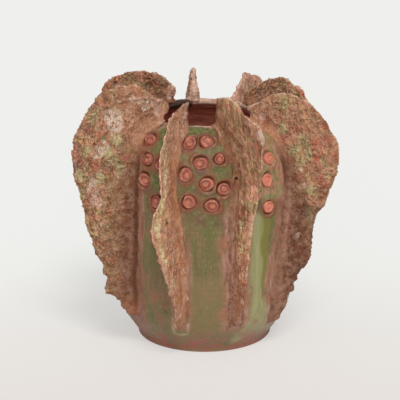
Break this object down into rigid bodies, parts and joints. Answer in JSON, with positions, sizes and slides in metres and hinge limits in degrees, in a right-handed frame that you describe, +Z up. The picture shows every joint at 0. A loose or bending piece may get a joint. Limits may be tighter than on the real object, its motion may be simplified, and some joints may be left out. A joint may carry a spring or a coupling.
{
  "type": "studio pottery vase",
  "caption": "Round thrown vase with a narrow mouth, upright slab fins with ragged edges and pressed clay pellets set in pockets.",
  "frame": {"origin": "middle of the foot's flat underside, on the surface that the vase stands on", "axes": "+Z up through the mouth, -Y is the front shown in the picture, +X is the viewer's right"},
  "size_m": [0.2027, 0.1937, 0.2086],
  "materials": {
    "pot_glaze": "glossy olive-green glaze breaking to brown and lavender, unglazed reddish clay inside",
    "fin_clay": "rusty brown clay with a mottled olive and pink wash, satin",
    "pellet_clay": "orange-red terracotta, satin"
  },
  "bodies": {
    "root": {"thrown_pot": "pot_glaze", "fin_left": "fin_clay", "fin_front_left": "fin_clay", "fin_front_right": "fin_clay", "fin_right": "fin_clay", "fin_right_rear": "fin_clay", "fin_rear_right": "fin_clay", "fin_rear": "fin_clay", "fin_rear_left": "fin_clay", "pellet_front_1": "pellet_clay", "pellet_front_2": "pellet_clay", "pellet_front_3": "pellet_clay", "pellet_front_4": "pellet_clay", "pellet_front_5": "pellet_clay", "pellet_front_6": "pellet_clay", "pellet_front_7": "pellet_clay", "pellet_front_8": "pellet_clay", "pellet_front_9": "pellet_clay", "pellet_left_front_1": "pellet_clay", "pellet_left_front_2": "pellet_clay", "pellet_left_front_3": "pellet_clay", "pellet_left_front_4": "pellet_clay", "pellet_left_front_5": "pellet_clay", "pellet_right_front_1": "pellet_clay", "pellet_right_front_2": "pellet_clay", "pellet_right_front_3": "pellet_clay", "pellet_right_front_4": "pellet_clay", "pellet_right_front_5": "pellet_clay", "pellet_right_front_6": "pellet_clay", "pellet_right_1": "pellet_clay", "pellet_right_2": "pellet_clay", "pellet_right_3": "pellet_clay", "pellet_right_4": "pellet_clay", "pellet_right_5": "pellet_clay", "pellet_right_rear_1": "pellet_clay", "pellet_right_rear_2": "pellet_clay", "pellet_right_rear_3": "pellet_clay", "pellet_right_rear_4": "pellet_clay", "pellet_right_rear_5": "pellet_clay", "pellet_rear_1": "pellet_clay", "pellet_rear_2": "pellet_clay", "pellet_rear_3": "pellet_clay", "pellet_rear_4": "pellet_clay", "pellet_rear_5": "pellet_clay", "pellet_rear_left_1": "pellet_clay", "pellet_rear_left_2": "pellet_clay", "pellet_rear_left_3": "pellet_clay", "pellet_rear_left_4": "pellet_clay", "pellet_rear_left_5": "pellet_clay", "pellet_left_1": "pellet_clay", "pellet_left_2": "pellet_clay", "pellet_left_3": "pellet_clay", "pellet_left_4": "pellet_clay", "pellet_left_5": "pellet_clay"}
  },
  "joints": []
}
